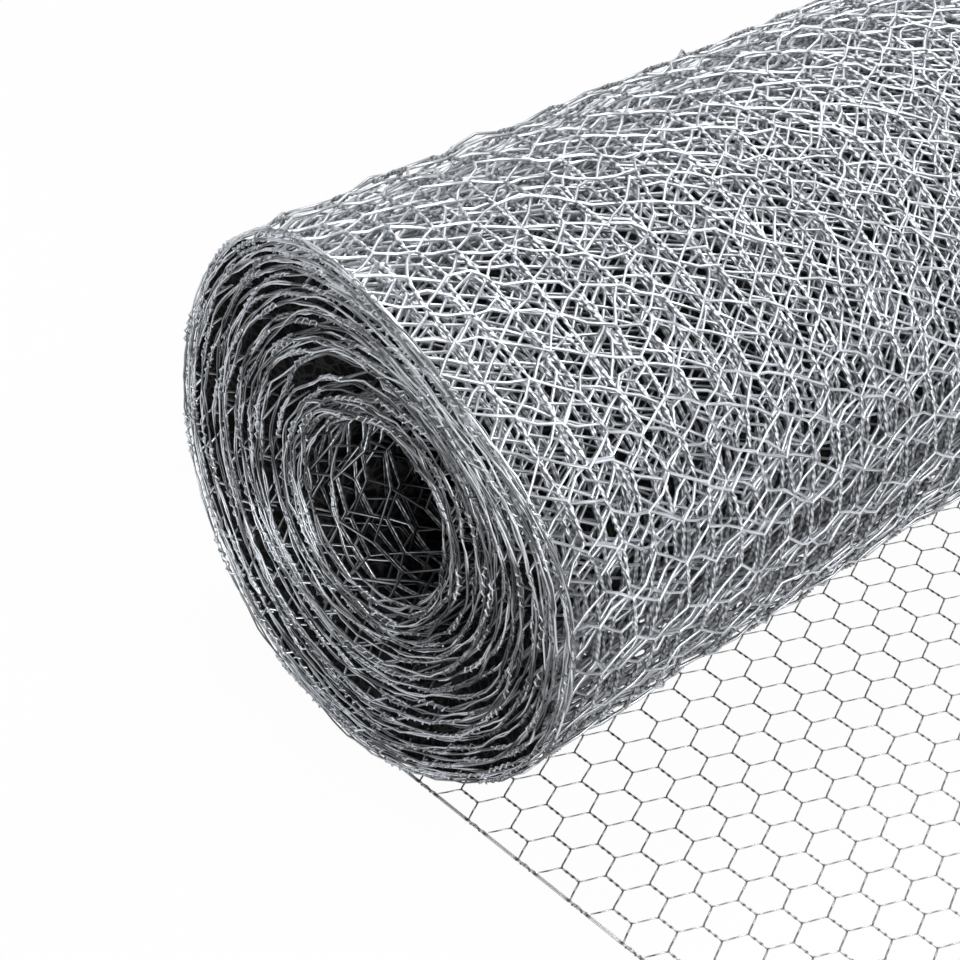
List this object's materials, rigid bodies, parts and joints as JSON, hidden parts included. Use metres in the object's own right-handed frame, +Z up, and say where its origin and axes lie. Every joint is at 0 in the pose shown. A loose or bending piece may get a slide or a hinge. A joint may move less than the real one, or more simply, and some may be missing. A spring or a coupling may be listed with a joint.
{
  "type": "roll of hexagonal wire netting",
  "caption": "Roll of galvanised hexagonal wire netting lying on its side, hollow at its heart, with the cut end drawn out flat on the floor beside it.",
  "frame": {"origin": "on the floor, under the middle of the box of the whole part", "axes": "+X along the loose end, away from the roll; +Y along the axis of the roll; +Z up from the floor"},
  "size_m": [0.2576, 0.4952, 0.148],
  "materials": {
    "galvanised_wire": "bright galvanised wire",
    "dull_wire": "duller galvanised wire"
  },
  "bodies": {
    "root": {"roll": "galvanised_wire", "loose_end_1": "dull_wire", "loose_end_2": "dull_wire", "loose_end_3": "dull_wire", "loose_end_4": "dull_wire"}
  },
  "joints": []
}
